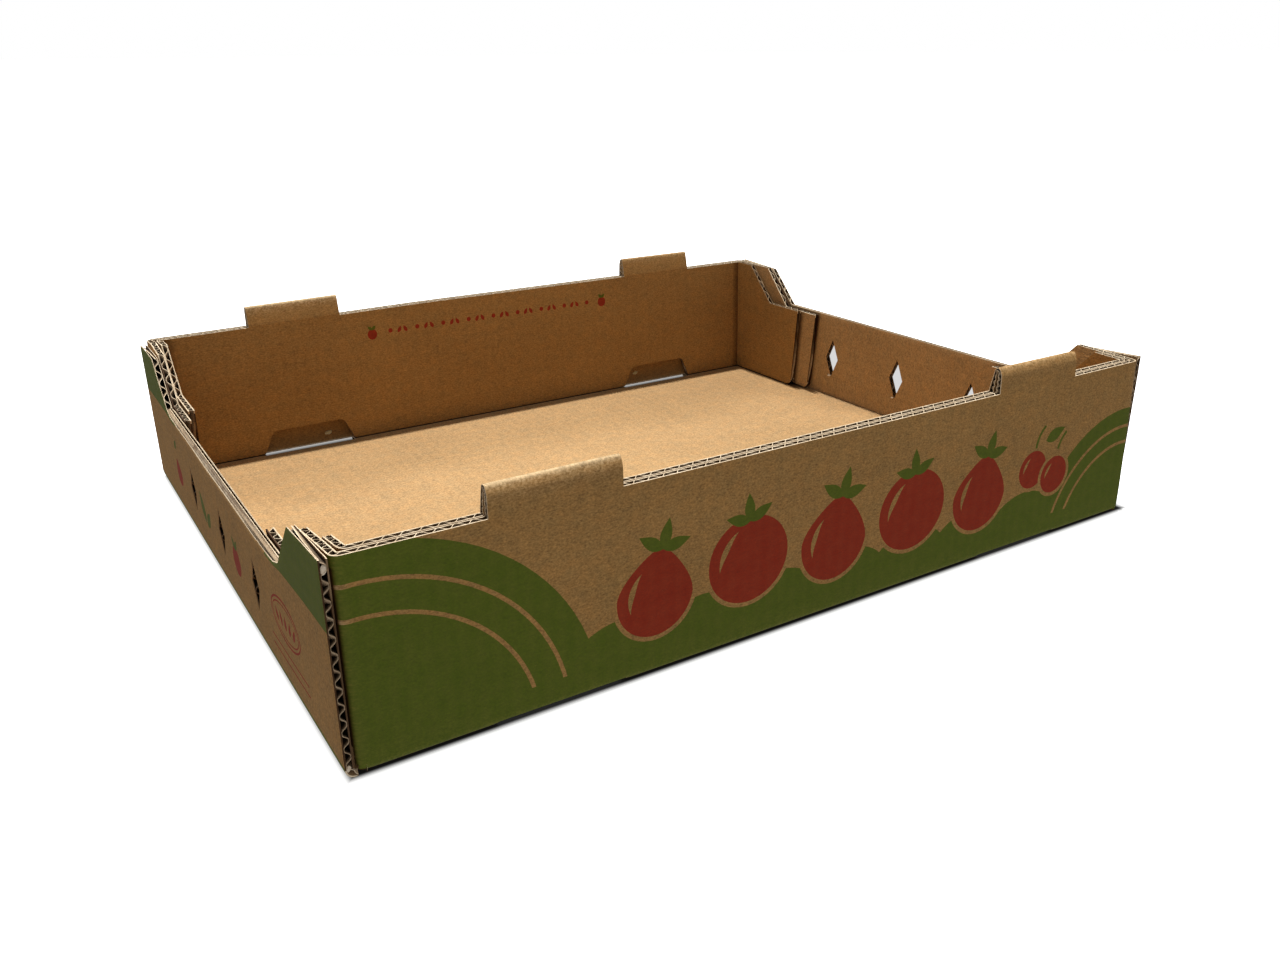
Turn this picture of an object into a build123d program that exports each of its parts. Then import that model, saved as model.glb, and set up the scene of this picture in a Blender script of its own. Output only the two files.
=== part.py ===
# Stacking produce tray, die-cut from one sheet of corrugated board, folded and glued.
# Millimetres, with Z up from the ground. X runs along the long walls and Y from front
# to back, with the origin in the middle of the tray on the ground.
# A quarter of the tray is modelled, from x = 0 to the right end and from y = 0 to the
# front wall, and two mirrors make the rest.
import os
from math import atan, radians, sin, tan
from build123d import *

os.makedirs("parts", exist_ok=True)

# Outside sizes of the folded tray
tray_length = 508.0        # over the two end walls
tray_width = 400.0         # over the two long walls
wall_height = 99.0         # top of the long walls and of the flaps at the corners
end_height = 71.0          # top of the low middle of an end wall

# The board and how it folds
board = 4.0                # thickness of the corrugated sheet
bend = 0.4                 # inside radius of a fold
end_gap = 1.5              # air between an end wall and the outer flap glued to it
ply_gap = 0.8              # air between the outer flap and the inner flap
cavity = 2.0               # air between the two plies of a long wall
foot_gap = 0.8             # air between the floor and the foot of a tucked-in ply
corner_foot = 2.1          # height above the ground of the cut edge under a corner fold

# Corrugation, which shows as a row of mouths wherever a cut crosses the flutes
flute_pitch = 7.8
liner = 0.5                # each of the two flat sheets
medium = 0.5               # the folded sheet between them
mouth_depth = 12.0         # how far the flutes are hollowed out from a cut edge

# Stacking tabs: the rolled-over strips that join the two plies of a long wall
tab_middle = 152.5         # from the middle of the tray to the middle of a tab
tab_width = 64.0
tab_rise = 14.0            # above the top of the wall
tab_top = 4.0              # thickness across the rounded top
tab_lean = 1.0             # how far the outer face leans in at the top
tab_split = 8.0            # height to which the two plies of a tab stay apart

# Stacking slots under the tabs, and the notches in the inner ply above them
slot_clearance = 1.0       # at each end of a tab, and beside its inner face
slot_lip = 2.0             # height above the ground of the outer ply over a slot
notch_height = 17.0        # above the floor
notch_slope = 67.0         # degrees, of the sides of a notch
notch_round = 5.0          # radius of the top corners of a notch

# Ears of the end walls and the flaps that are glued to their inside.
# Each has a top edge, then a slope down to its low edge.
ear_top = 44.0             # length of the top edge, from the outside of the long wall
ear_slope = 27.0           # length of the slope along the end wall
ear_drop = 2.0             # how far the top edge falls from the corner to the slope
outer_flap_top = 44.0
outer_flap_reach = 108.0
outer_flap_drop = 1.5      # its low edge lies this far below the low edge of the end
inner_flap_top = 28.0
inner_flap_reach = 92.0
inner_flap_drop = 0.8
flap_taper = 7.0           # how much shorter a flap is at its foot
flap_round = 6.0           # radius of the foot corner of a flap

# Diamond vents in the end walls
vent_count = 3
vent_spacing = 73.0
vent_width = 14.0
vent_height = 31.0
vent_middle = 36.0         # height of the middle above the ground

# Sizes that follow
fold = board + bend
end_x = tray_length / 2
wall_y = tray_width / 2
outer_ply_x = end_x - board - end_gap
inner_ply_x = outer_ply_x - board - ply_gap
wall_depth = 2 * board + cavity
inner_face_y = wall_y - wall_depth
inner_ply_y = inner_face_y + board
ply_foot = board + foot_gap
tab_x = tab_middle - tab_width / 2
slot_x = tab_x - slot_clearance
slot_width = tab_width + 2 * slot_clearance
slot_y = inner_face_y - slot_clearance
notch_top = board + notch_height
notch_inset = notch_height / tan(radians(notch_slope))
half_pitch = flute_pitch / 2
flute_angle = atan((board - 2 * liner) / half_pitch)
mouth_half = half_pitch - medium / 2 / sin(flute_angle)
mouth_height = mouth_half * tan(flute_angle)


# Outline, in depth and height, of a ply that lies along the end wall: from start, where
# it leaves its fold, with its top edge, slope, low edge and tapered end
def flap_outline(start, top, reach, drop):
    slope_y = -wall_y + top
    low = end_height - drop
    end_y = -wall_y + reach
    return [
        (start, wall_height),
        (slope_y, wall_height),
        (slope_y + ear_slope, low),
        (end_y, low),
        (end_y - flap_taper, ply_foot),
        (start, ply_foot),
    ]


# Mouths of the flutes in a row on the current sketch, one every half pitch and all of
# them whole. The row runs from start to end along its first axis. On its second axis
# the board's outer face lies at face, and the board is on the side that inward points
# to. Mouths on the outer liner take turns with mouths on the inner one.
def flute_mouths(start, end, face, inward, across=False):
    count = int((end - start - mouth_half) / half_pitch)
    for step in range(count):
        middle = start + (step + 1) * half_pitch
        on_outer_liner = step % 2 == 0
        if on_outer_liner:
            base = face + inward * liner
            tip = base + inward * mouth_height
        else:
            base = face + inward * (board - liner)
            tip = base - inward * mouth_height
        corners = [(middle - mouth_half, base), (middle + mouth_half, base), (middle, tip)]
        if across:
            corners = [(second, first) for first, second in corners]
        Polygon(*corners, align=None)


with BuildPart() as tray:
    # Floor
    with BuildSketch(Plane.XY):
        Rectangle(end_x - fold, wall_y - fold, align=(Align.MIN, Align.MAX))
    extrude(amount=board)

    # Relief in the corner of the floor, under the fold of the outer flap
    with BuildSketch(Plane.XY):
        with Locations((outer_ply_x - fold, -wall_y + fold)):
            Rectangle(2 * fold, foot_gap, align=(Align.MIN, Align.MIN))
    extrude(amount=board, mode=Mode.SUBTRACT)

    # Outer ply of the long wall, folded up from the floor
    with BuildSketch(Plane.YZ):
        with BuildLine():
            Line((-wall_y, wall_height), (-wall_y, fold))
            RadiusArc((-wall_y, fold), (-wall_y + fold, 0), -fold)
            Line((-wall_y + fold, 0), (-wall_y + fold, board))
            RadiusArc((-wall_y + fold, board), (-wall_y + board, fold), bend)
            Line((-wall_y + board, fold), (-wall_y + board, wall_height))
            Line((-wall_y + board, wall_height), (-wall_y, wall_height))
        make_face()
    extrude(amount=outer_ply_x - fold)

    # End wall, folded up from the floor
    with BuildSketch(Plane.XZ.offset(wall_y)):
        with BuildLine():
            Line((end_x, end_height), (end_x, fold))
            RadiusArc((end_x, fold), (end_x - fold, 0), fold)
            Line((end_x - fold, 0), (end_x - fold, board))
            RadiusArc((end_x - fold, board), (end_x - board, fold), -bend)
            Line((end_x - board, fold), (end_x - board, end_height))
            Line((end_x - board, end_height), (end_x, end_height))
        make_face()
    extrude(amount=-wall_y)

    # Ear of the end wall
    with BuildSketch(Plane.YZ.offset(end_x - board)):
        Polygon(
            (-wall_y, end_height),
            (-wall_y, wall_height),
            (-wall_y + ear_top, wall_height - ear_drop),
            (-wall_y + ear_top + ear_slope, end_height),
            align=None,
        )
    extrude(amount=board)

    # Fold from the outer ply round the corner to the outer flap
    with BuildSketch(Plane.XY.offset(corner_foot)):
        with Locations((outer_ply_x - fold, -wall_y + fold)):
            Circle(fold)
            Circle(bend, mode=Mode.SUBTRACT)
            Rectangle(fold, fold, align=(Align.MIN, Align.MAX), mode=Mode.INTERSECT)
    extrude(amount=wall_height - corner_foot)

    # Outer flap
    with BuildSketch(Plane.YZ.offset(outer_ply_x - board)) as outer_flap:
        Polygon(*flap_outline(-wall_y + fold, outer_flap_top, outer_flap_reach, outer_flap_drop), align=None)
        foot_corner = outer_flap.vertices().sort_by(Axis.Y)[:2].sort_by(Axis.X)[-1]
        fillet(foot_corner, radius=flap_round)
    extrude(amount=board)

    # Inner ply of the long wall
    with BuildSketch(Plane.XY.offset(ply_foot)):
        with Locations((0, -inner_ply_y)):
            Rectangle(inner_ply_x - fold, board, align=(Align.MIN, Align.MIN))
    extrude(amount=wall_height - ply_foot)

    # Fold from the inner ply round the corner to the inner flap
    with BuildSketch(Plane.XY.offset(ply_foot)):
        with Locations((inner_ply_x - fold, -inner_ply_y + fold)):
            Circle(fold)
            Circle(bend, mode=Mode.SUBTRACT)
            Rectangle(fold, fold, align=(Align.MIN, Align.MAX), mode=Mode.INTERSECT)
    extrude(amount=wall_height - ply_foot)

    # Inner flap
    with BuildSketch(Plane.YZ.offset(inner_ply_x - board)) as inner_flap:
        Polygon(*flap_outline(-inner_ply_y + fold, inner_flap_top, inner_flap_reach, inner_flap_drop), align=None)
        foot_corner = inner_flap.vertices().sort_by(Axis.Y)[:2].sort_by(Axis.X)[-1]
        fillet(foot_corner, radius=flap_round)
    extrude(amount=board)

    # Stacking tab: both plies roll over into one rounded edge
    with BuildSketch(Plane.YZ.offset(tab_x)):
        crown = wall_height + tab_rise
        shoulder = crown - tab_top / 2
        crown_y = -wall_y + tab_lean
        with BuildLine():
            Line((-wall_y, wall_height), (crown_y, shoulder))
            ThreePointArc((crown_y, shoulder), (crown_y + tab_top / 2, crown), (crown_y + tab_top, shoulder))
            Line((crown_y + tab_top, shoulder), (-inner_face_y, wall_height))
            Line((-inner_face_y, wall_height), (-inner_ply_y, wall_height))
            Line((-inner_ply_y, wall_height), (-wall_y + board, wall_height + tab_split))
            Line((-wall_y + board, wall_height + tab_split), (-wall_y + board, wall_height))
            Line((-wall_y + board, wall_height), (-wall_y, wall_height))
        make_face()
    extrude(amount=tab_width)

    # Stacking slot, through the crease under the outer ply and into the floor
    with BuildSketch(Plane.YZ.offset(slot_x)):
        with Locations((-wall_y, 0)):
            Rectangle(wall_y - slot_y, slot_lip, align=(Align.MIN, Align.MIN))
        with Locations((-wall_y + board, 0)):
            Rectangle(wall_y - slot_y - board, ply_foot, align=(Align.MIN, Align.MIN))
    extrude(amount=slot_width, mode=Mode.SUBTRACT)

    # Notch in the foot of the inner ply, over the slot
    with BuildSketch(Plane.XZ.offset(inner_face_y)) as notch:
        Polygon(
            (slot_x, ply_foot),
            (slot_x + notch_inset, notch_top),
            (slot_x + slot_width - notch_inset, notch_top),
            (slot_x + slot_width, ply_foot),
            align=None,
        )
        fillet(notch.vertices().sort_by(Axis.Y)[-2:], radius=notch_round)
    extrude(amount=board, mode=Mode.SUBTRACT)

    # Diamond vents, cut across the middle so that the mirror completes the row
    with BuildSketch(Plane.YZ.offset(end_x - board)):
        for place in range(vent_count):
            vent_y = (place - (vent_count - 1) / 2) * vent_spacing
            Polygon(
                (vent_y, vent_middle - vent_height / 2),
                (vent_y + vent_width / 2, vent_middle),
                (vent_y, vent_middle + vent_height / 2),
                (vent_y - vent_width / 2, vent_middle),
                align=None,
            )
    extrude(amount=board, mode=Mode.SUBTRACT)

    # Flutes of the long wall, which stand upright and open along its top edge
    with BuildSketch(Plane.XY.offset(wall_height)):
        for face, inward, fold_start in (
            (-wall_y, 1, outer_ply_x - fold),
            (-inner_face_y, -1, inner_ply_x - fold),
        ):
            flute_mouths(0, tab_x, face, inward)
            flute_mouths(tab_x + tab_width, fold_start, face, inward)
    extrude(amount=-mouth_depth, mode=Mode.SUBTRACT)

    # Flutes of the flaps, which open along their top, slope and low edge
    with BuildSketch(Plane.XY.offset(wall_height)):
        flute_mouths(-wall_y + fold, -wall_y + outer_flap_reach, outer_ply_x, -1, across=True)
        flute_mouths(-inner_ply_y + fold, -wall_y + inner_flap_reach, inner_ply_x, -1, across=True)
    extrude(amount=-(wall_height - end_height + mouth_depth), mode=Mode.SUBTRACT)

    # Flutes of the end wall, which lie flat and open at the corner and on the ear's slope
    with BuildSketch(Plane.XZ.offset(wall_y)):
        flute_mouths(fold, wall_height, end_x, -1, across=True)
    extrude(amount=-(ear_top + ear_slope), mode=Mode.SUBTRACT)

    mirror(about=Plane.YZ)
    mirror(about=Plane.XZ)

tray.part.label = "tray"
export_step(tray.part, "parts/tray.step")
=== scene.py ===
import math

import bmesh
import bpy
import numpy as np
from mathutils import Euler, Matrix, Quaternion, Vector
from mathutils.geometry import delaunay_2d_cdt


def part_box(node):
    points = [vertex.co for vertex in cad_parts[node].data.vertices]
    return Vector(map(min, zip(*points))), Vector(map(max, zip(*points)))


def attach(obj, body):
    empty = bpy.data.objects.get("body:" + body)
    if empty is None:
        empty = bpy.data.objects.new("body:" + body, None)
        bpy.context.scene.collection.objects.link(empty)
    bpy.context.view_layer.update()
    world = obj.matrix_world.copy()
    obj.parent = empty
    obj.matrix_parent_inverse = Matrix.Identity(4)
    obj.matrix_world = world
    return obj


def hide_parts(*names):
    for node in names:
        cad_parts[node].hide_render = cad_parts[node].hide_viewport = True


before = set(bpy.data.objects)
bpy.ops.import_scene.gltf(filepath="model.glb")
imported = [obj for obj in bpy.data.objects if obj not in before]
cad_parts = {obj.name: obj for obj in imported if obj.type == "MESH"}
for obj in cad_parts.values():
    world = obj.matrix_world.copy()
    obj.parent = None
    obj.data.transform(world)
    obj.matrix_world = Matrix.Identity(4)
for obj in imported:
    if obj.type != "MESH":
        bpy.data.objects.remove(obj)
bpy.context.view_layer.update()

MM = 0.001

# Sizes of the folded tray, in millimetres. WALL and END are the heights of the long walls
# and of the low middle of the end walls. The gaps are the air between an end wall and its
# outer flap, between the two flaps, between the plies of a wall and under their feet.
low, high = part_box("tray")
LENGTH = (high[0] - low[0]) / MM
WIDTH = (high[1] - low[1]) / MM
TALL = (high[2] - low[2]) / MM
TAB_RISE = 14.0
WALL = TALL - TAB_RISE
END = 71.0
BOARD = 4.0
BEND = 0.4
END_GAP = 0.7
PLY_GAP = 0.8
CAVITY = 2.0
FOOT_GAP = 0.8
CORNER_FOOT = 2.1

# Papers of the board: thickness of the liners and of the fluting, how far a liner's cut
# edge frays, and the length of a wave
LINER = 0.45
MEDIUM = 0.30
FRAY = 0.22
PITCH = 7.741

# Tabs, slots and notches. The crushes are shares of the board's thickness that are left.
TAB_MIDDLE = 152.5
TAB_WIDTH = 64.0
TAB_FADE = 1.5
RISE_CRUSH = 0.8
TAB_CRUSH = 0.5
TAB_EASE = math.radians(24)
EASE_RADIUS = 8.0
CROWN_RADIUS = 1.2
SLOT_CLEAR = 1.0
SLOT_LIP_ANGLE = math.radians(57)
NOTCH = 17.0
NOTCH_SLOPE = math.radians(67)
NOTCH_ROUND = 5.0

# Ears of the end walls, and the outer and inner flaps. A top is level for its length, and
# the slope beside it leads down to the low part.
EAR_TOP = 44.0
EAR_SLOPE = 27.0
EAR_DROP = 2.0
OUTER_TOP = 44.0
OUTER_REACH = 108.0
OUTER_DROP = 1.5
INNER_TOP = 28.0
INNER_REACH = 92.0
INNER_DROP = 0.8
FLAP_TAPER = 7.0
FLAP_ROUND = 6.0
FLAP_SLIT = 0.06
STRIP_INSET = 0.3

# Vents
VENT_SPACING = 73.0
VENT_WIDTH = 14.0
VENT_HEIGHT = 31.0
VENT_MIDDLE = 36.0

# Wear in use. A pair named ..._FROM says where a change starts and how far on it is full.
# The right corners lean inwards, the front one most.
LEAN_FRONT_RIGHT = 5.6
LEAN_RIGHT = 1.2
LEAN_START = 150.0
# The right end wall stands back from the front and its vents sit off the middle.
END_SET_BACK = 5.4
VENTS_OFF = 1.8
VENTS_OFF_LENGTH = 40.0
# The left end wall has sagged, less towards the front.
SAG_LEFT = 3.3
SAG_TALL = 45.0
SAG_PLACES = (-200, -160, -129, -95)
SAG_SHARES = (0.0, 0.15, 0.75, 1.0)
# Its low edge is crushed open on the outside.
CRUSH_OUTSIDE = 3.7
CRUSH_INSIDE = -1.3
CRUSH_DEEP = 9.0
CRUSH_FADE = 12.0
CRUSH_UNEVEN = 0.14
# The back left corner is knocked round, and the back wall's left half hangs a little.
CORNER_KNOCK = 2.6
KNOCK_Y_FROM = (168.0, 32.0)
KNOCK_Z_FROM = (70.0, 29.0)
BACK_SAG = 2.4
BACK_SAG_FROM = (60.0, 190.0)
# The inner plies are pressed towards the outer ones. The left flaps droop towards their
# ends, and the back outer one lies close to its end wall.
PLY_PRESS = 1.5
PRESS_Z_FROM = (20.0, 70.0)
FLAP_DROP_FRONT = 5.0
FLAP_DROP_BACK = 3.0
FLAP_DROP_Y_FROM = (8.0, 34.0)
FLAP_DROP_Z_FROM = (END - 1, 24.0)
FLAP_TIGHT = 0.6
FLAP_TIGHT_Z_FROM = (30.0, 40.0)

# Places on the blank that follow from the sizes
FOLD = BOARD + BEND
MID = BEND + BOARD / 2
ARC = MID * math.pi / 2
FLOOR_S = LENGTH / 2 - FOLD
FLOOR_V = WIDTH / 2 - FOLD
OUTER_X = LENGTH / 2 - BOARD - END_GAP
INNER_X = OUTER_X - BOARD - PLY_GAP
INNER_Y = WIDTH / 2 - 2 * BOARD - CAVITY
OUTER_S = OUTER_X - FOLD
INNER_S = INNER_X - FOLD
END_S = FLOOR_S + ARC
RISE_V = FLOOR_V + ARC
TOP_V = RISE_V + WALL - FOLD
TAB_S0 = TAB_MIDDLE - TAB_WIDTH / 2
TAB_S1 = TAB_MIDDLE + TAB_WIDTH / 2
SLOT_S0 = TAB_S0 - SLOT_CLEAR
SLOT_S1 = TAB_S1 + SLOT_CLEAR
EAR_FOOT_Y = WIDTH / 2 - EAR_TOP - EAR_SLOPE
OUTER_END_Y = WIDTH / 2 - OUTER_REACH
INNER_END_Y = WIDTH / 2 - INNER_REACH


def bend(radius, heading, turn):
    """How far an arc goes across and up."""
    across = radius * (np.sin(heading + turn) - np.sin(heading))
    return across, radius * (np.cos(heading) - np.cos(heading + turn))


def tab_route(lean):
    """Route over a tab whose inner side leans by an angle, and the height of its top.

    The board goes up the outer side, eases inwards, turns round the crown, comes down
    the inner side and straightens at the top of the inner ply.
    """
    up, eased = math.pi / 2, math.pi / 2 + TAB_EASE
    down = 3 * math.pi / 2 - lean
    arcs = (
        bend(EASE_RADIUS, up, TAB_EASE),
        bend(CROWN_RADIUS, eased, down - eased),
        bend(MID, down, lean),
    )
    swing = INNER_Y + BOARD / 2 - (WIDTH / 2 - BOARD / 2)
    slope = (sum(a[0] for a in arcs) - swing) / math.sin(lean)
    rise = slope * math.cos(lean) - sum(a[1] for a in arcs)
    top = rise + arcs[0][1] + bend(CROWN_RADIUS, eased, math.pi - eased)[1] + TAB_CRUSH * BOARD / 2
    route = (
        (rise, 0.0, RISE_CRUSH),
        (EASE_RADIUS * TAB_EASE, TAB_EASE, TAB_CRUSH),
        (CROWN_RADIUS * (down - eased), down - eased, TAB_CRUSH),
        (slope, 0.0, 1.0),
        (MID * lean, lean, 1.0),
    )
    return route, top


def fitted_tab():
    """The tab whose top is TAB_RISE above the wall."""
    steep, shallow = math.radians(6), math.radians(60)
    for _ in range(50):
        lean = (steep + shallow) / 2
        if tab_route(lean)[1] > TAB_RISE:
            steep = lean
        else:
            shallow = lean
    return tab_route(shallow)[0]


# Folds along v and along s: length, turn to the left, and share of thickness at its end
TAB = fitted_tab()
ROUTE_V = (
    (FLOOR_V, 0.0, 1.0),
    (ARC, math.pi / 2, 1.0),
    (WALL - FOLD, 0.0, 1.0),
    *TAB,
    (WALL, 0.0, 1.0),
)
ROUTE_S = (
    (FLOOR_S, 0.0, 1.0),
    (ARC, math.pi / 2, 1.0),
    (WALL, 0.0, 1.0),
)
INNER_V = sum(part[0] for part in ROUTE_V[:-1])
FOOT_V = INNER_V + WALL - BOARD - FOOT_GAP
CROWN_V = TOP_V + TAB[0][0] + TAB[1][0] + TAB[2][0] / 2


def stretch(length, heading, turn, share):
    """How far a share of a straight or bent stretch goes across and up."""
    if turn:
        return bend(length / turn, heading, turn * share)
    return length * share * np.cos(heading), length * share * np.sin(heading)


def follow(route, distance, depth):
    """Across and height of points at a distance along a route and a depth in the board."""
    place = np.zeros((2, len(distance)))
    at, heading, thick = np.array([0.0, BOARD / 2]), 0.0, 1.0
    start = 0.0
    for index, (length, turn, end_thick) in enumerate(route):
        last = index == len(route) - 1
        here = (distance >= start - 1e-9) & ((distance < start + length) | last)
        share = (distance[here] - start) / length
        angle = heading + turn * share
        out = (depth[here] + BOARD / 2) * (thick + (end_thick - thick) * np.clip(share, 0, 1))
        place[:, here] = at[:, None] + stretch(length, heading, turn, share)
        place[:, here] += out * np.array([np.sin(angle), -np.cos(angle)])
        at = at + stretch(length, heading, turn, 1.0)
        heading += turn
        thick = end_thick
        start += length
    return place


def ripple(x):
    """Smooth unevenness between -1 and 1."""
    return (np.sin(1.7 * x) + np.sin(2.9 * x + 1.3) + np.sin(5.3 * x + 2.1)) / 3


def ramp(value, start, length):
    """0 before start, 1 from start + length on, and even between."""
    return np.clip((value - start) / length, 0, 1)


def near(value, middle, reach):
    """1 at the middle, small beyond its reach on both sides."""
    return np.exp(-((value - middle) / reach) ** 2)


def between(value, least, most):
    return (value > least) & (value < most)


def fold(s, v, n):
    """Folded place, in millimetres, of points on the blank."""
    side_s, side_v = np.where(s < 0, -1.0, 1.0), np.where(v < 0, -1.0, 1.0)
    a, b = np.abs(s), np.abs(v)
    in_end = (a > FLOOR_S - 1.0) & (b < RISE_V + FOOT_GAP / 2)
    in_floor = (b <= FLOOR_V) & ~in_end

    x, y, z = a.copy(), b.copy(), -n
    x[in_end], z[in_end] = follow(ROUTE_S, a[in_end], n[in_end])

    ply = ~(in_end | in_floor)
    y[ply], z[ply] = follow(ROUTE_V, b[ply], n[ply])
    under = ply & (a > OUTER_S + FLAP_SLIT / 2) & (b < RISE_V)
    y[under], z[under] = WIDTH / 2 + n[under], FOLD - (RISE_V - b[under])

    outer = ply & (b < (TOP_V + INNER_V) / 2) & (a > OUTER_S)
    turn_corner(x, y, a, outer, OUTER_S, WIDTH / 2 - FOLD, MID + n + BOARD / 2)
    inner = ply & (b > (TOP_V + INNER_V) / 2) & (a > INNER_S)
    turn_corner(x, y, a, inner, INNER_S, INNER_Y + BOARD - FOLD, MID - n - BOARD / 2)
    y += PLY_PRESS * ply * ramp(b, CROWN_V, INNER_V - CROWN_V) * ramp(z, *PRESS_Z_FROM)
    return settled(x * side_s, y * side_v, z, n, in_end)


def settled(x, y, z, n, in_end):
    """Places after use, from those of a fresh tray."""
    on_left = x < 0
    up = np.maximum((z - FOLD) / (WALL - FOLD), 0)
    to_front = ramp(-y, WIDTH / 2 - EAR_TOP, EAR_TOP)
    off_corner = -np.abs(y)

    lean = LEAN_RIGHT + (LEAN_FRONT_RIGHT - LEAN_RIGHT) * to_front
    lean = lean * up ** 1.3 * ramp(np.abs(x), LEAN_START, INNER_X - LEAN_START) ** 2
    back_outer_flap = ramp(-x, INNER_X, OUTER_X - BOARD - INNER_X) * (y > 0)
    tight = FLAP_TIGHT * back_outer_flap * ramp(z, *FLAP_TIGHT_Z_FROM)
    new_x = x - ~in_end * np.where(on_left, tight, lean)

    back = END_SET_BACK * to_front + VENTS_OFF * ramp(off_corner, -EAR_FOOT_Y, VENTS_OFF_LENGTH)
    new_y = y + np.where(in_end & ~on_left, back, 0)

    sag = SAG_LEFT * np.interp(y, SAG_PLACES, SAG_SHARES) * np.clip(z / SAG_TALL, 0, 1)
    open_edge = (CRUSH_OUTSIDE - CRUSH_INSIDE) * (1 + n / BOARD) * (1 + CRUSH_UNEVEN * ripple(y / 5))
    near_edge = ramp(z, END - CRUSH_DEEP, CRUSH_DEEP) ** 2 * ramp(off_corner, -EAR_FOOT_Y, CRUSH_FADE)
    knock = CORNER_KNOCK * ramp(y, *KNOCK_Y_FROM) ** 1.5 * ramp(z, *KNOCK_Z_FROM)
    end_drop = sag + (CRUSH_INSIDE + open_edge) * near_edge + knock

    start, length = FLAP_DROP_Y_FROM
    flap_drop = np.where(y < 0, FLAP_DROP_FRONT, FLAP_DROP_BACK) * ramp(z, *FLAP_DROP_Z_FROM)
    flap_drop *= ramp(off_corner, start - WIDTH / 2, length) * (x < -INNER_X + BOARD + 0.5)
    back_drop = BACK_SAG * up * ramp(-x, *BACK_SAG_FROM) * (y > INNER_Y - 2)
    return new_x, new_y, z - np.where(in_end, end_drop * on_left, flap_drop + back_drop)


def turn_corner(x, y, a, which, start, centre_y, radius):
    """Carries the points that lie past the start of a corner fold round it to the flap."""
    r = radius[which]
    past = a[which] - start
    angle = np.clip(past / MID, 0, math.pi / 2)
    beyond = np.maximum(past - ARC, 0)
    x[which] = start + r * np.sin(angle)
    y[which] = centre_y + r * np.cos(angle) - beyond


# Outline of the blank


def box(x0, y0, x1, y1):
    return [(x0, y0), (x1, y0), (x1, y1), (x0, y1)]


def rounded(corners, radius, steps=6):
    """Corner points of an outline, with the middle one of three turned into an arc."""
    before, corner, after = (Vector(p) for p in corners)
    to_a, to_b = (before - corner).normalized(), (after - corner).normalized()
    half = to_a.angle(to_b) / 2
    centre = corner + (to_a + to_b).normalized() * (radius / math.sin(half))
    first = corner + to_a * (radius / math.tan(half)) - centre
    last = corner + to_b * (radius / math.tan(half)) - centre
    total = first.angle_signed(last)
    points = []
    for step in range(steps + 1):
        angle = -total * step / steps
        turned = Vector((
            first.x * math.cos(angle) - first.y * math.sin(angle),
            first.x * math.sin(angle) + first.y * math.cos(angle),
        ))
        points.append(tuple(centre + turned))
    return points


def end_s(height):
    return END_S + height - FOLD


def outer_v(height):
    return RISE_V + height - FOLD


def inner_v(height):
    return INNER_V + WALL - height


def outer_s(reach):
    """Place along s of a point of an outer flap that lies a reach from the tray's side."""
    return OUTER_S + ARC - FOLD + reach


def inner_s(reach):
    """Place along s of a point of an inner flap that lies a reach from the tray's side."""
    return INNER_S + ARC + INNER_Y + BOARD - FOLD - WIDTH / 2 + reach


def quarter_outline():
    """The blank's outline for positive s and v, from the end wall to the inner ply."""
    strip = WIDTH / 2 - STRIP_INSET
    relief_v = FLOOR_V - FOOT_GAP
    low_outer, low_inner = outer_v(END - OUTER_DROP), inner_v(END - INNER_DROP)
    foot = outer_v(BOARD + FOOT_GAP)
    outer_end, outer_foot = (outer_s(OUTER_REACH), low_outer), (outer_s(OUTER_REACH - FLAP_TAPER), foot)
    inner_end, inner_foot = (inner_s(INNER_REACH), low_inner), (inner_s(INNER_REACH - FLAP_TAPER), FOOT_V)
    notch_in = NOTCH / math.tan(NOTCH_SLOPE)
    notch_v = inner_v(BOARD + NOTCH)
    points = [
        (end_s(END), EAR_FOOT_Y),
        (end_s(WALL - EAR_DROP), EAR_FOOT_Y + EAR_SLOPE),
        (end_s(WALL), strip),
        (FLOOR_S, strip),
        (FLOOR_S, relief_v),
        (OUTER_S, relief_v),
        (OUTER_S, RISE_V),
        (OUTER_S + FLAP_SLIT, RISE_V),
        (OUTER_S + FLAP_SLIT, outer_v(CORNER_FOOT)),
        (OUTER_S + ARC, outer_v(CORNER_FOOT)),
        (OUTER_S + ARC, foot),
    ]
    points += rounded(((OUTER_S + ARC, foot), outer_foot, outer_end), FLAP_ROUND)
    points += [
        outer_end,
        (outer_s(OUTER_TOP + EAR_SLOPE), low_outer),
        (outer_s(OUTER_TOP), TOP_V),
        (TAB_S1, TOP_V),
        (TAB_S1, INNER_V),
        (inner_s(INNER_TOP), INNER_V),
        (inner_s(INNER_TOP + EAR_SLOPE), low_inner),
        inner_end,
    ]
    points += rounded((inner_end, inner_foot, (SLOT_S1, FOOT_V)), FLAP_ROUND)
    points.append((SLOT_S1, FOOT_V))
    top_right, top_left = (SLOT_S1 - notch_in, notch_v), (SLOT_S0 + notch_in, notch_v)
    points += rounded(((SLOT_S1, FOOT_V), top_right, top_left), NOTCH_ROUND)
    points += rounded((top_right, top_left, (SLOT_S0, FOOT_V)), NOTCH_ROUND)
    points.append((SLOT_S0, FOOT_V))
    return points


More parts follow.
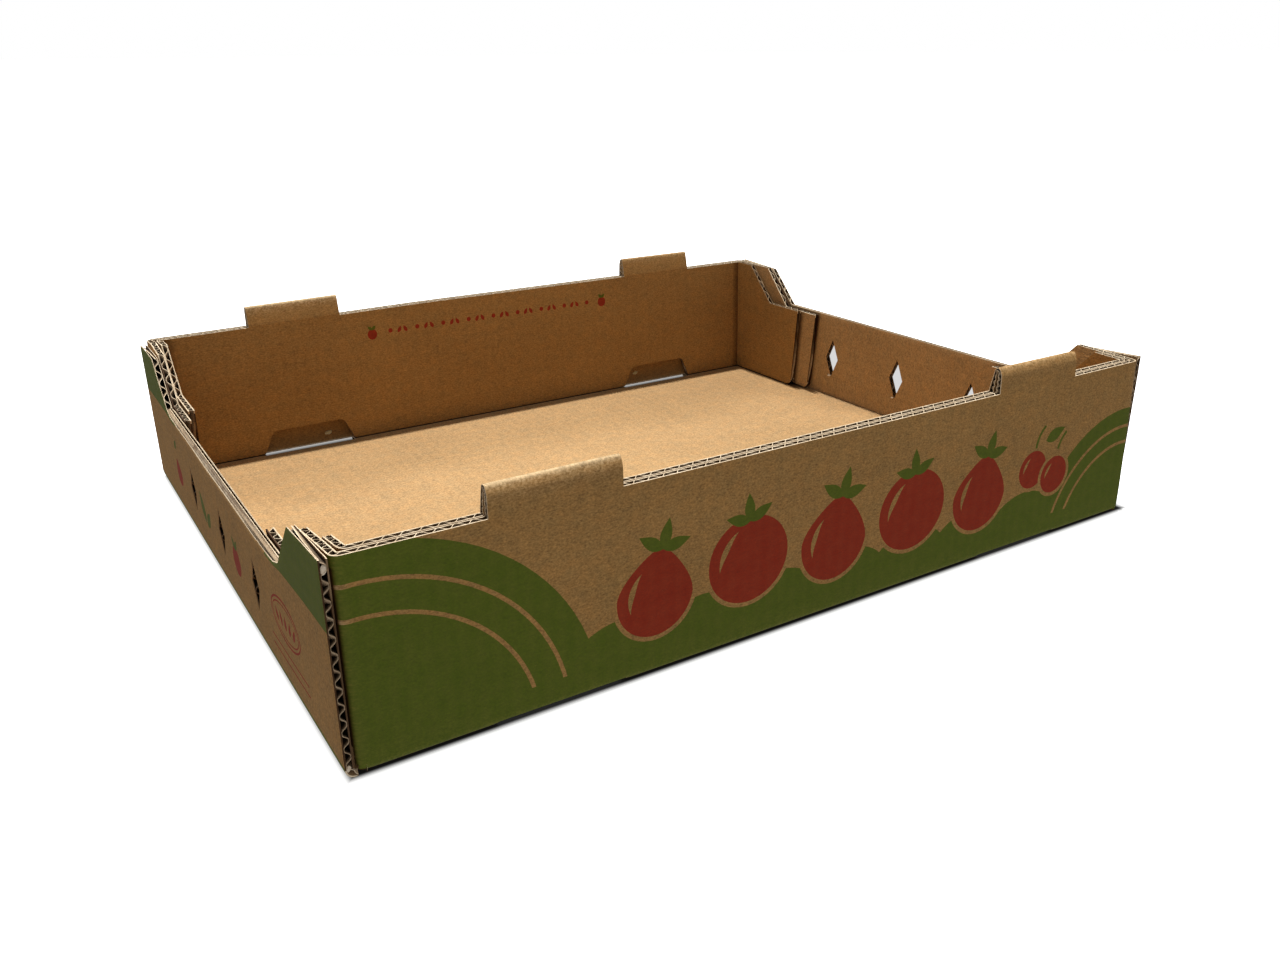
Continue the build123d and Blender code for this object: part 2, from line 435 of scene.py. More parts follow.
def blank_loops():
    """The outer loop of the blank and the loops of all its holes."""
    quarter = quarter_outline()
    outer = []
    for side, way in ((1, 1), (-1, 1), (-1, -1), (1, -1)):
        outer += [(side * s, way * v) for s, v in quarter[::side * way]]
    loops = [outer]
    lip_v = FLOOR_V + SLOT_LIP_ANGLE * MID
    slot_v = INNER_Y - SLOT_CLEAR
    for way in (-1, 1):
        loops.append(box(-TAB_S0, way * TOP_V, TAB_S0, way * INNER_V))
        for side in (-1, 1):
            loops.append(box(side * SLOT_S0, way * slot_v, side * SLOT_S1, way * lip_v))
    for side in (-1, 1):
        middle = side * end_s(VENT_MIDDLE)
        for v in (-VENT_SPACING, 0, VENT_SPACING):
            loops.append([
                (middle - VENT_HEIGHT / 2, v), (middle, v - VENT_WIDTH / 2),
                (middle + VENT_HEIGHT / 2, v), (middle, v + VENT_WIDTH / 2),
            ])
    return loops


LOOPS = blank_loops()


def inside(points, loops):
    """Even-odd test of points against closed loops."""
    px, py = points[:, 0], points[:, 1]
    odd = np.zeros(len(points), bool)
    for loop in loops:
        ring = np.array(loop)
        for (x0, y0), (x1, y1) in zip(ring, np.roll(ring, -1, axis=0)):
            if y0 == y1:
                continue
            crosses = (py < y0) != (py < y1)
            odd ^= crosses & (px < x0 + (py - y0) * (x1 - x0) / (y1 - y0))
    return odd


def steps_between(a, b, count):
    return [a + (b - a) * k / count for k in range(count + 1)]


def row(v, s0, s1):
    return (s0, v), (s1, v)


def column(s, v0, v1):
    return (s, v0), (s, v1)


def mirrored(lines):
    """Lines on the quarter of the blank, repeated on its other quarters."""
    half = lines + [((-a, b), (-c, d)) for (a, b), (c, d) in lines]
    return half + [((a, -b), (c, -d)) for (a, b), (c, d) in half]


# Cut edges, where the cutting rule squeezed the board

SQUEEZE_ACROSS = 0.05
SQUEEZE_ALONG = 0.08
SQUEEZE_LOW_END = 0.12
SQUEEZE_DEPTH = 1.6
SQUEEZE_UNEVEN = 0.3
SHORTEST_CUT = 2.4
CUT_STEPS = (0.8, 2.0, 4.5)


def squeezed(start, end):
    """Share of its thickness that the board loses at a cut edge.

    The cutting rule crushes a flute that it follows, most of all along the low edge of
    an end wall.
    """
    if abs(start[0] - end[0]) > 0.1 * abs(start[1] - end[1]):
        return SQUEEZE_ACROSS
    if abs(start[1]) < WIDTH / 2 and abs(abs(start[0]) - end_s(END)) < 0.1:
        return SQUEEZE_LOW_END
    return SQUEEZE_ALONG


def cut_edges():
    """Cut edges of the blank: both ends, the way into the board, and how hard it is squeezed."""
    edges = []
    for loop in LOOPS:
        for start, end in zip(loop, loop[1:] + loop[:1]):
            along = Vector(end) - Vector(start)
            if along.length < SHORTEST_CUT:
                continue
            along.normalize()
            inward = Vector((-along.y, along.x))
            middle = (Vector(start) + Vector(end)) / 2 + inward * 0.1
            if not inside(np.array([middle]), LOOPS)[0]:
                inward.negate()
            edges.append((start, end, inward, squeezed(start, end)))
    return edges


CUTS = cut_edges()


def cut_lines():
    """Lines beside the cut edges, where the papers curve and the light fades."""
    lines = []
    for start, end, inward, _ in CUTS:
        for step in CUT_STEPS:
            shift = inward * step
            lines.append(((start[0] + shift.x, start[1] + shift.y), (end[0] + shift.x, end[1] + shift.y)))
    return lines


def near_cuts(s, v):
    """Distance of points from the nearest cut edge, and the thickness left there."""
    away = np.full_like(s, 1e3)
    left = np.ones_like(s)
    uneven = 1 + SQUEEZE_UNEVEN * ripple((s * 0.7 + v) / 9)
    for (s0, v0), (s1, v1), _, squeeze in CUTS:
        ds, dv = s1 - s0, v1 - v0
        share = np.clip(((s - s0) * ds + (v - v0) * dv) / (ds * ds + dv * dv), 0, 1)
        here = np.hypot(s - s0 - share * ds, v - v0 - share * dv)
        away = np.minimum(away, here)
        left = np.minimum(left, 1 - squeeze * uneven * near(here, 0, SQUEEZE_DEPTH))
    return away, left


PAST_EDGE = 5.0


def bend_lines(steps=7):
    """Lines along which every paper bends at the folds of walls, ends and flaps."""
    lines = [row(v, 0, OUTER_S + ARC + 1) for v in steps_between(FLOOR_V, RISE_V, steps)]
    lines += [column(s, 0, WIDTH / 2 + 1) for s in steps_between(FLOOR_S, END_S, steps)]
    for s in steps_between(OUTER_S, OUTER_S + ARC, steps):
        lines.append(column(s, RISE_V - BOARD, TOP_V + 1))
    for s in steps_between(INNER_S, INNER_S + ARC, steps):
        lines.append(column(s, INNER_V - 1, FOOT_V + PAST_EDGE))
    return mirrored(lines) + cut_lines()


# Painted shade in places that light hardly reaches, from 0 to 1, and how far it reaches there. The floor is
# also darkened towards the right end.
DEEPEST = 0.95
UNDER_PLY = 0.9
UNDER_INNER_FLAP_S = INNER_X - BOARD
UNDER_OUTER_FLAP_S = OUTER_X - BOARD
BESIDE_FLAP, BESIDE_REACH = 0.72, 3.6
CORNER_SOFT, CORNER_DARK, CORNER_REACH = 0.22, 0.70, 5.0
END_CREASE, END_CREASE_REACH = 0.7, 1.4
BEHIND_PLY = 0.15
WALL_FOOT = 0.25
# Painted shade over the whole outside of the left end wall
LEFT_END_SHADE = 0.16
# Darkening of the floor towards the right end, where it starts and how far on it is full
FLOOR_DARKER_RIGHT, DARKER_RIGHT_FROM = 0.11, (30.0, 150.0)
TURNED_UNDER = (0.42, 0.58)
GAP_OPENS = (0.50, 0.70)


def shade_lines():
    """Lines beside the creases and under the plies, where the light ends abruptly."""
    ends = (-0.5, 0.3)
    flaps = (UNDER_INNER_FLAP_S, UNDER_OUTER_FLAP_S)
    lines = [row(INNER_Y + end, 0, FLOOR_S) for end in ends]
    lines += [column(flap + end, OUTER_END_Y, FLOOR_V) for flap in flaps for end in ends]
    for shift in (0.0, BESIDE_REACH * 0.5, BESIDE_REACH):
        s, y = outer_s(INNER_REACH + shift), OUTER_END_Y - shift
        lines.append(((s - FLAP_TAPER, RISE_V), (s, RISE_V + END)))
        lines.append(((END_S, y + FLAP_TAPER), (END_S + END, y)))
    for s in (INNER_S - CORNER_REACH - 0.8, INNER_S - CORNER_REACH):
        lines.append(column(s, INNER_V - 1, FOOT_V + PAST_EDGE))
    return mirrored(lines)


def under_fold(place, start):
    """Shade on the part of a bottom fold that is turned to the ground."""
    ends = [start + ARC * share for share in TURNED_UNDER]
    return np.interp(place, (start - 1.5, start, *ends), (0.0, DEEPEST, DEEPEST, 0.0))


def dark_outside(s, v):
    """Painted shade of the printed side: the tray's inner corners, bottom edges, corner gaps and the whole
    outside of the left end wall.
    """
    a, b = np.abs(s), np.abs(v)
    start = INNER_S - CORNER_REACH
    corner = np.interp(
        a, (start - 0.8, start, INNER_S, INNER_S + ARC * 0.45, INNER_S + ARC * 0.6),
        (0.0, CORNER_SOFT, CORNER_DARK, CORNER_DARK, 0.0),
    )
    end_wall = (a > FLOOR_S - 0.5) & (b < WIDTH / 2 - STRIP_INSET / 2)
    gap = np.interp(a, [OUTER_S + ARC * share for share in GAP_OPENS], (0.0, DEEPEST))
    return np.maximum.reduce((
        corner * (b > INNER_V),
        under_fold(b, FLOOR_V) * (a < OUTER_S + ARC),
        under_fold(a, FLOOR_S) * (b < FLOOR_V + ARC),
        LEFT_END_SHADE * (s < 0) * (a > END_S) * (b < WIDTH / 2),
        gap * between(b, FLOOR_V, outer_v(WALL - 5)) * ~end_wall,
    ))


def under_foot(place, start):
    return np.clip((place - start) / 0.8 + 0.6, 0, 1)


def dark_inside(s, v):
    """Painted shade of the plain side: under the feet of the plies, behind them and beside the flaps. The
    floor is also darkened towards the right end.
    """
    a, b = np.abs(s), np.abs(v)
    floor = (a < FLOOR_S) & (b < FLOOR_V)
    under = np.maximum.reduce((
        under_foot(b, INNER_Y),
        under_foot(a, UNDER_INNER_FLAP_S) * (b > INNER_END_Y + FLAP_TAPER),
        under_foot(a, UNDER_OUTER_FLAP_S) * (b > OUTER_END_Y + FLAP_TAPER),
    ))
    end_crease = END_CREASE * near(a, FLOOR_S + ARC / 2, END_CREASE_REACH) * (b < WIDTH / 2)
    behind = BEHIND_PLY * between(b, FLOOR_V, INNER_V + 8) * (a < OUTER_S)
    wall_foot = WALL_FOOT * between(b, FLOOR_V, RISE_V + 6) * (a < OUTER_S)

    near_y = INNER_END_Y + FLAP_TAPER * ramp(-b, -RISE_V - END, END)
    flap_y = WIDTH / 2 - FOLD + OUTER_S + ARC - a
    on_outer_flap = ramp(flap_y, near_y - BESIDE_REACH, BESIDE_REACH) * (a > OUTER_S + ARC)
    on_outer_flap *= between(b, RISE_V, TOP_V) * ramp(-b, -outer_v(END), 4)
    far_y = OUTER_END_Y + FLAP_TAPER * ramp(-a, -END_S - END, END)
    on_end = ramp(b, far_y - BESIDE_REACH, BESIDE_REACH) * (a > END_S) * (b < WIDTH / 2)
    on_end *= ramp(-a, -end_s(END), 4)
    beside = BESIDE_FLAP * np.maximum(on_outer_flap, on_end)
    darker_right = FLOOR_DARKER_RIGHT * ramp(s, *DARKER_RIGHT_FROM) * floor
    return np.maximum.reduce((UNDER_PLY * under * floor, end_crease, behind + wall_foot, beside)) + darker_right


def tab_rows(step=None):
    """Lines across the tabs, where the board rolls over its crown."""
    rows = []
    start = TOP_V
    for length, turn, _ in ROUTE_V[3:-1]:
        count = 10 if turn > 1 else 3 if turn else 2
        if step:
            count = max(count, round(length / step))
        rows += steps_between(start, start + length, count)
        start += length
    rows = sorted(set(rows)) + [TOP_V - 1, TOP_V - 3, INNER_V + 1, INNER_V + 3]
    return mirrored([row(v, TAB_S0 - 1, TAB_S1 + 1) for v in rows])


def wave_lines(steps_per_pitch):
    """Lines that follow the waves of the fluting. On the tabs, where it is crushed, few are left."""
    lines = []
    for k in range(int(end_s(WALL) / PITCH * steps_per_pitch) + 2):
        s = k * PITCH / steps_per_pitch
        if between(s, TAB_S0 + 1, TAB_S1 - 1) and k % steps_per_pitch:
            lines += [column(s, 0, TOP_V + TAB_FADE), column(s, INNER_V - TAB_FADE, FOOT_V + 3)]
        else:
            lines.append(column(s, 0, FOOT_V + 3))
    return mirrored(lines)


def grid_lines(step):
    reach_s, reach_v = end_s(WALL) + PAST_EDGE, FOOT_V + PAST_EDGE
    lines = [column(k * step, 0, reach_v) for k in range(1, int(reach_s / step))]
    lines += [row(k * step, 0, reach_s) for k in range(1, int(reach_v / step))]
    return mirrored(lines)


def triangulate(lines, shapes=()):
    """Triangles of the blank, cut along the given lines and around the given shapes."""
    points, edges = [], []
    for loop in LOOPS + list(shapes):
        first = len(points)
        points.extend(loop)
        edges += [(first + k, first + (k + 1) % len(loop)) for k in range(len(loop))]
    for line in lines:
        edges.append((len(points), len(points) + 1))
        points.extend(line)
    made = delaunay_2d_cdt([Vector(p) for p in points], edges, [], 0, 1e-5, False)
    corners = np.array([tuple(p) for p in made[0]])
    triangles = np.array([f for f in made[2] if len(f) == 3])
    triangles = triangles[inside(corners[triangles].mean(axis=1), LOOPS)]
    used = np.unique(triangles)
    renumber = np.zeros(len(corners), int)
    renumber[used] = np.arange(len(used))
    return corners[used], renumber[triangles]


# Rubbed places: how much, and how far from the middle of a fold. On the tab crowns the lighter scuff is
# partly real wear and partly a painted highlight.
WALL_FOLD_RUB = 1.6
BOTTOM_FOLD_RUB = 1.8
TAB_RUB_AND_HIGHLIGHT, TAB_RUB_AND_HIGHLIGHT_REACH = 0.65, 6.0
TAB_BARE_AND_HIGHLIGHT, TAB_BARE_AND_HIGHLIGHT_REACH = 2.4, 1.9
TAB_RUB_AND_HIGHLIGHT_RIGHT = 0.45


def worn_and_highlighted(s, v):
    """How far, from 0 to 1, points lie on a fold whose outside rubs. Past 1 it is bare. On the tab crowns
    the lightening is partly real wear and partly a painted highlight, weaker on the right tab.
    """
    a, b = np.abs(s), np.abs(v)
    tab = np.where(s > 0, TAB_RUB_AND_HIGHLIGHT_RIGHT, 1.0)
    return np.maximum.reduce((
        between(b, RISE_V, TOP_V + 1) * near(a, OUTER_S + ARC / 2, WALL_FOLD_RUB),
        (b < WIDTH / 2) * near(a, FLOOR_S + ARC / 2, BOTTOM_FOLD_RUB),
        (a < OUTER_S) * near(b, FLOOR_V + ARC / 2, BOTTOM_FOLD_RUB),
        TAB_RUB_AND_HIGHLIGHT * tab * near(b, CROWN_V, TAB_RUB_AND_HIGHLIGHT_REACH),
        TAB_BARE_AND_HIGHLIGHT * tab * near(b, CROWN_V, TAB_BARE_AND_HIGHLIGHT_REACH),
    ))


def cut_shade(s, v, outer_side):
    """Painted shade of a paper's cut edge: 0 in the light, -1 in painted half shade (brown), 1 in painted
    shade.
    """
    a, b = np.abs(s), np.abs(v)
    vent = (b < VENT_SPACING + VENT_WIDTH) & between(a, FLOOR_S, end_s(END) - 2)
    foot = (b > inner_v(BOARD + NOTCH) - 1) & ((a < INNER_S) | (b > FOOT_V - 1))
    strip = (a > END_S) & between(b, WIDTH / 2 - STRIP_INSET - 0.1, WIDTH / 2)
    flap_end = (a > OUTER_S + 75) & (
        between(b, RISE_V + 6, outer_v(END) - 3) | between(b, inner_v(END) + 3, FOOT_V - 6)
    )
    slit = between(a, OUTER_S - 0.1, OUTER_S + ARC + 0.1)
    slit &= between(b, FLOOR_V - 1, outer_v(CORNER_FOOT) + 0.1)
    back_right_flap = (s > INNER_S + ARC) & (v > 0) & between(b, INNER_V - 1, inner_v(END) + 1)
    # Rims that light hardly reaches get the brown colour (painted half shade) or the dark one (painted
    # shade).
    brown_vent = vent & (s < 0) & outer_side
    dark = (vent & ~brown_vent) | foot | (strip & outer_side) | flap_end | slit
    brown = brown_vent | back_right_flap | (strip & (not outer_side))
    return dark.astype(int) - brown


def mouth_depth(s, v):
    """How far light reaches into the board from its nearest cut edge."""
    a, b = np.abs(s), np.abs(v)
    end = (a > END_S - 1) & (b < WIDTH / 2)
    low_edge = end & (b < EAR_FOOT_Y + 2) & (a > end_s(END) - 5)
    flaps = (a > OUTER_S + ARC) & (b > RISE_V)
    tabs = between(b, TOP_V, INNER_V)
    return np.select((low_edge, end | tabs, flaps), (6.0, 0.8, 1.4), 2.4)


FRAY_REACH = 0.7
SHARP = math.radians(35)


def paper(name, corners, triangles, top_n, bottom_n, face_slots, materials, dark):
    """One paper of the board, folded, as a closed thin solid.

    face_slots holds the material of each triangle of the outer side, then of the inner
    side. The last three materials are those of the cut edges: in painted half shade, in the
    light and in painted shade.
    """
    s, v = corners[:, 0], corners[:, 1]
    count = len(corners)
    away, left = near_cuts(s, v)
    frayed = FRAY * near(away, 0, FRAY_REACH) * (np.abs(v) > RISE_V)
    if name == "outer_liner":
        bottom_n = bottom_n - frayed
    elif name == "inner_liner":
        top_n = top_n + frayed
    top_n = (top_n + BOARD / 2) * left - BOARD / 2
    bottom_n = (bottom_n + BOARD / 2) * left - BOARD / 2
    top = np.stack(fold(s, v, top_n), axis=1)
    bottom = np.stack(fold(s, v, bottom_n), axis=1)
    places = np.concatenate([top, bottom]) * MM

    sides = np.concatenate([triangles[:, [0, 1]], triangles[:, [1, 2]], triangles[:, [2, 0]]])
    keys = np.sort(sides, axis=1)
    _, index, uses = np.unique(keys, axis=0, return_index=True, return_counts=True)
    rim = sides[index[uses == 1]]
    walls = np.stack([rim[:, 0], rim[:, 1], rim[:, 1] + count, rim[:, 0] + count], axis=1)
    faces = triangles[:, ::-1].tolist() + (triangles + count).tolist() + walls.tolist()

    mesh = bpy.data.meshes.new(name)
    mesh.from_pydata(places.tolist(), [], faces)
    corner_vertex = np.zeros(len(mesh.loops), np.int32)
    mesh.loops.foreach_get("vertex_index", corner_vertex)
    uv = mesh.uv_layers.new(name="blank")
    flat = np.concatenate([corners, corners]) * MM
    uv.data.foreach_set("uv", flat[corner_vertex].astype(np.float32).ravel())
    for key, values in (("wear_and_highlight", worn_and_highlighted(s, v)), ("mouth", np.exp(-away / mouth_depth(s, v))), ("dark", dark)):
        attribute = mesh.attributes.new(key, "FLOAT", "POINT")
        attribute.data.foreach_set("value", np.tile(values, 2).astype(np.float32))
    for material in materials:
        mesh.materials.append(material)
    middle = (corners[rim[:, 0]] + corners[rim[:, 1]]) / 2
    rim_slots = len(materials) - 2 + cut_shade(middle[:, 0], middle[:, 1], name == "outer_liner")
    slots = np.concatenate([face_slots, rim_slots])
    mesh.polygons.foreach_set("material_index", slots.astype(np.int32))
    mesh.polygons.foreach_set("use_smooth", np.ones(len(mesh.polygons), bool))
    mesh.set_sharp_from_angle(angle=SHARP)
    mesh.update()
    return add_piece(name, mesh)


def add_piece(name, mesh):
    piece = bpy.data.objects.new(name, mesh)
    bpy.context.collection.objects.link(piece)
    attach(piece, "root")
    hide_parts("tray")
    return piece


# Print. Every shape is a closed loop on one panel, with x to the right and z up as seen
# by someone who faces that panel. Later shapes cover earlier ones.

KRAFT, GREEN, RED = 0, 1, 2
WALL_PANEL, END_PANEL, PLY_PANEL = 1, 2, 3
HALO = 2.3


def arc(x, z, radius, first, last, count, hollow=0.0):
    """Points of an arc whose radius is less by hollow in its middle."""
    points = []
    for k, degrees in enumerate(steps_between(first, last, count)):
        near_radius = radius - hollow * math.sin(math.pi * k / count)
        angle = math.radians(degrees)
        points.append((x + near_radius * math.cos(angle), z + near_radius * math.sin(angle)))
    return points


def placed(points, x, z, tilt):
    turn = math.radians(tilt)
    return [
        (x + p * math.cos(turn) - q * math.sin(turn), z + p * math.sin(turn) + q * math.cos(turn))
        for p, q in points
    ]


def oval(x, z, wide, tall, tilt=0, count=40):
    ring = [
        (wide * math.cos(2 * math.pi * k / count), tall * math.sin(2 * math.pi * k / count))
        for k in range(count)
    ]
    return placed(ring, x, z, tilt)


def leaf(x, z, length, wide, tilt, count=9):
    """Pointed leaf that starts at x, z and grows along tilt, counted from upright."""
    edge = []
    for k in range(count):
        t = k / count
        edge.append((wide / 2 * math.sin(math.pi * t ** 0.8), length * t))
    back = [(-p, q) for p, q in reversed(edge[1:])]
    return placed(edge + [(0, length)] + back, x, z, tilt)


def pear(x, z, radius, tall, tilt=0, count=44):
    """Round below, narrowing to a rounded neck above."""
    ring = []
    for k in range(count):
        angle = 2 * math.pi * k / count
        lift = math.sin(angle)
        narrow = 1 - 0.45 * max(lift, 0) ** 1.4
        ring.append((radius * math.cos(angle) * narrow, (tall - radius if lift > 0 else radius) * lift))
    return placed(ring, x, z, tilt)


def sliver(x, z, radius, first, last, wide, count=10):
    """Curved stroke that tapers at both ends."""
    hollow = arc(x, z, radius, first, last, count, wide)
    return arc(x, z, radius, first, last, count) + hollow[-2:0:-1]


def bowed(x, z, radius, wide, first, last, count=20):
    """Curved stroke of even width."""
    return arc(x, z, radius, first, last, count) + arc(x, z, radius - wide, last, first, count)


def grown(loop, by):
    """A loop moved outwards by a distance."""
    ring = np.array(loop)
    ahead, behind = np.roll(ring, -1, axis=0), np.roll(ring, 1, axis=0)
    along = ahead - behind
    along /= np.hypot(along[:, 0], along[:, 1])[:, None]
    area = np.sum(ring[:, 0] * ahead[:, 1] - ahead[:, 0] * ring[:, 1])
    out = np.stack([along[:, 1], -along[:, 0]], axis=1) * math.copysign(1, area)
    return [tuple(p) for p in ring + out * by]


def fruit(art, body, crown_x, crown_z, size, tilt, shine):
    """Red fruit with a bare rim, three leaves and a bare highlight."""
    leaves = [
        leaf(crown_x, crown_z, size * 0.62, size * 0.26, tilt + turn)
        for turn in (-72, 64, -6)
    ]
    for one in leaves:
        art.append((KRAFT, grown(one, HALO * 0.6)))
    art.append((KRAFT, grown(body, HALO)))
    art.append((RED, body))
    art.extend((GREEN, one) for one in leaves)
    art.append((KRAFT, shine))


SCALLOP = 46.0
SCALLOP_STEP = 2.3


def wall_art():
    """Long outer wall: green field with scallops and two big rounds, and a row of fruit."""
    half = OUTER_S + 14
    across = [-half + k * SCALLOP_STEP for k in range(int(2 * half / SCALLOP_STEP) + 1)]
    top = [(x, 25 + 9 * abs(math.sin(math.pi * (x + 8) / SCALLOP)) ** 0.7) for x in across]
    art = [(GREEN, [(-half, -2.5), (half, -2.5)] + top[::-1])]
    for side, radius in ((-1, 108), (1, 76)):
        x = side * (LENGTH / 2 - 12)
        art.append((GREEN, oval(x, -6, radius, radius, 0, 90)))
        for ring in (0.86, 0.72):
            art.append((KRAFT, bowed(x, -6, radius * ring, 2.0, 2, 178, 44)))
    art.append((GREEN, box(-half, -2.5, half, 14)))
    for x, size, shape in (
        (-104, 25, pear), (-50, 24, oval), (5, 26, pear), (60, 24, oval), (113, 25, pear),
    ):
        if shape is oval:
            body = oval(x, 45, size, size * 0.96)
            shine = sliver(x, 45, size * 0.74, 112, 190, 3.4)
            fruit(art, body, x, 45 + size * 0.84, size, 10, shine)
        else:
            body = pear(x, 41, size * 0.84, size * 1.78, -8)
            shine = sliver(x, 41, size * 0.60, 120, 205, 3.2)
            fruit(art, body, x + 4, 41 + size * 0.90, size, -8, shine)
    pair = ((157, 47, 100, 180), (177, 40, 118, 170))
    size = 11.5
    for x, z, _, _ in pair:
        art += [
            (KRAFT, oval(x, z, size + HALO, size + HALO)),
            (RED, oval(x, z, size, size)),
            (KRAFT, sliver(x, z, size * 0.7, 110, 190, 2.0)),
        ]
    art += [(GREEN, bowed(x + 17, z + 13, 17, 1.8, 128, last, 10)) for x, z, _, last in pair]
    art.append((GREEN, leaf(166, 63, 17, 8, -70)))
    return art


def end_art():
    """Outer side of an end: green ears and foot, and small scattered marks."""
    reach = WIDTH / 2 + 2
    art = [(GREEN, box(side * (EAR_FOOT_Y - 24), 68, side * reach, WALL + 4)) for side in (-1, 1)]
    art += [
        (GREEN, box(-reach, -2.5, reach, 5.5)),
        (GREEN, leaf(-44, 24, 22, 10, 24)),
        (GREEN, leaf(-41, 23, 17, 8, -42)),
        (RED, oval(33, 32, 8, 9)),
        (GREEN, leaf(33, 39, 9, 4.5, 40)),
        (GREEN, leaf(33, 39, 9, 4.5, -36)),
        (RED, pear(-118, 30, 8, 19, 14)),
        (GREEN, leaf(-122, 48, 10, 5, -50)),
    ]
    for ink, inset in ((RED, 0), (KRAFT, 1.2), (RED, 2.6), (KRAFT, 3.4)):
        art.append((ink, oval(128, 40, 24 - inset, 12 - inset, 0, 48)))
    art += [(RED, leaf(116 + 6 * k, 36, 8.5, 3.4, (k - 2) * -14)) for k in range(5)]
    art += [(RED, box(98, z, 158, z + 0.9)) for z in (21, 15.5)]
    return art


def ply_art():
    """Inner side of a long wall: one line of small ornament."""
    art = []
    for k in range(-12, 13):
        x = 7.0 * k
        if k % 3 == 0:
            art.append((RED, oval(x, 82, 1.7, 1.7, 0, 14)))
        else:
            art.append((RED, leaf(x - 1.2, 79.6, 5.4, 2.7, -28 if k % 3 == 1 else 28, 6)))
    for x in (-98, 98):
        art.append((RED, oval(x, 81, 3.6, 3.9, 0, 18)))
        art += [(GREEN, leaf(x, 84.2, 4.4, 2.4, tilt, 5)) for tilt in (42, -42)]
    return art


def print_shapes():
    """All printed shapes on the blank, each with its ink and the panel that it stays on."""
    shapes = []
    for side in (-1, 1):
        for ink, loop in wall_art():
            shapes.append((ink, [(-side * x, side * outer_v(z)) for x, z in loop], side * WALL_PANEL))
        base = box(FOLD - ARC - 1.5, -WIDTH / 2, 2.2, WIDTH / 2)
        shapes.append((GREEN, [(side * end_s(z), x) for z, x in base], side * END_PANEL))
        for ink, loop in end_art():
            shapes.append((ink, [(side * end_s(z), side * x) for x, z in loop], side * END_PANEL))
        for ink, loop in ply_art():
            shapes.append((ink, [(side * x, side * inner_v(z)) for x, z in loop], side * PLY_PANEL))
    return shapes


def panels(points):
    """Panel of each point of the blank, negative on the front and left, or 0."""
    s, v = points[:, 0], points[:, 1]
    a, b = np.abs(s), np.abs(v)
    end = (a > FLOOR_S - 2) & (b < WIDTH / 2 - STRIP_INSET / 2)
    wall = (b > FLOOR_V - 2) & (b < CROWN_V) & (a < OUTER_S + ARC) & ~end
    ply = b > CROWN_V
    return END_PANEL * end * np.sign(s) + (WALL_PANEL * wall + PLY_PANEL * ply) * np.sign(v)


def inked(points, shapes):
    """Ink of each point of the blank."""
    ink = np.zeros(len(points), int)
    panel = panels(points)
    for colour, loop, on in shapes:
        ring = np.array(loop)
        in_box = np.all((points >= ring.min(axis=0)) & (points <= ring.max(axis=0)), axis=1)
        index = np.nonzero((panel == on) & in_box)[0]
        if len(index):
            ink[index[inside(points[index], [loop])]] = colour
    return ink


# Materials. The papers' fibres lie mostly along s, across the flutes.


class Nodes:
    """Short names for the node calls that the materials and the sky share."""

    def __init__(self, tree):
        self.tree = tree

    def add(self, kind, output, inputs=(), **settings):
        """Adds a node, fills inputs given in order or by name, and gives one output."""
        node = self.tree.nodes.new(kind)
        for key, value in settings.items():
            setattr(node, key, value)
        for key, value in inputs.items() if isinstance(inputs, dict) else enumerate(inputs):
            self.plug(node.inputs[key], value)
        return node.outputs[output]

    def plug(self, socket, value):
        if isinstance(value, bpy.types.NodeSocket):
            self.tree.links.new(value, socket)
        else:
            socket.default_value = value

    def math(self, kind, a, b=0.0, c=0.0):
        return self.add("ShaderNodeMath", "Value", (a, b, c), operation=kind)

    def span(self, value, low, high, out_low=0.0, out_high=1.0, ease="LINEAR"):
        """Value between low and high, spread from out_low to out_high."""
        inputs = (value, low, high, out_low, out_high)
        return self.add("ShaderNodeMapRange", "Result", inputs, interpolation_type=ease)

    def shade(self, colour, amount):
        """Colour times a number."""
        inputs = {0: colour, "Scale": amount}
        return self.add("ShaderNodeVectorMath", "Vector", inputs, operation="SCALE")


class Material(Nodes):
    """A material whose patterns lie on the flat blank."""

    def __init__(self, name):
        self.material = bpy.data.materials.new(name)
        self.material.use_nodes = True
        super().__init__(self.material.node_tree)
        self.shader = self.tree.nodes["Principled BSDF"]
        self.uv = self.add("ShaderNodeUVMap", "UV")

    def noise(self, along_s, along_v, detail=3.0, rough=0.55, shift=0.0):
        """Noise whose grains have the given sizes in millimetres."""
        place = self.add("ShaderNodeMapping", "Vector", {
            "Vector": self.uv,
            "Scale": (1 / (along_s * MM), 1 / (along_v * MM), 1),
            "Location": (shift, shift * 0.7, shift * 0.3),
        })
        inputs = {"Vector": place, "Scale": 1.0, "Detail": detail, "Roughness": rough}
        return self.add("ShaderNodeTexNoise", "Fac", inputs)

    def mix(self, share, a, b):
        inputs = {"Factor": share, "A": a, "B": b}
        return self.add("ShaderNodeMix", "Result", inputs, data_type="RGBA", clamp_factor=True)

    def flutes(self):
        """Sine at the flutes, where the liner is glued to them: bumps of the washboard ripple, and faint
        stripes in colour.
        """
        along_s = self.add("ShaderNodeSeparateXYZ", "X", (self.uv,))
        return self.math("SINE", self.math("MULTIPLY", along_s, 2 * math.pi / (PITCH * MM)))

    def attribute(self, name):
        """Value that paper() wrote at the points of the mesh."""
        return self.add("ShaderNodeAttribute", "Fac", attribute_name=name)

    def finish(self, colour, roughness, specular, height, depth):
        """Sets the shader, with a bump of a depth in millimetres, and gives the material."""
        bump = {"Strength": 1.0, "Distance": depth * MM, "Height": height}
        inputs = {
            "Base Color": colour, "Roughness": roughness, "Specular IOR Level": specular,
            "Normal": self.add("ShaderNodeBump", "Normal", bump),
        }
        for name, value in inputs.items():
            self.plug(self.shader.inputs[name], value)
        return self.material


def rgba(colour):
    return (*colour, 1.0)


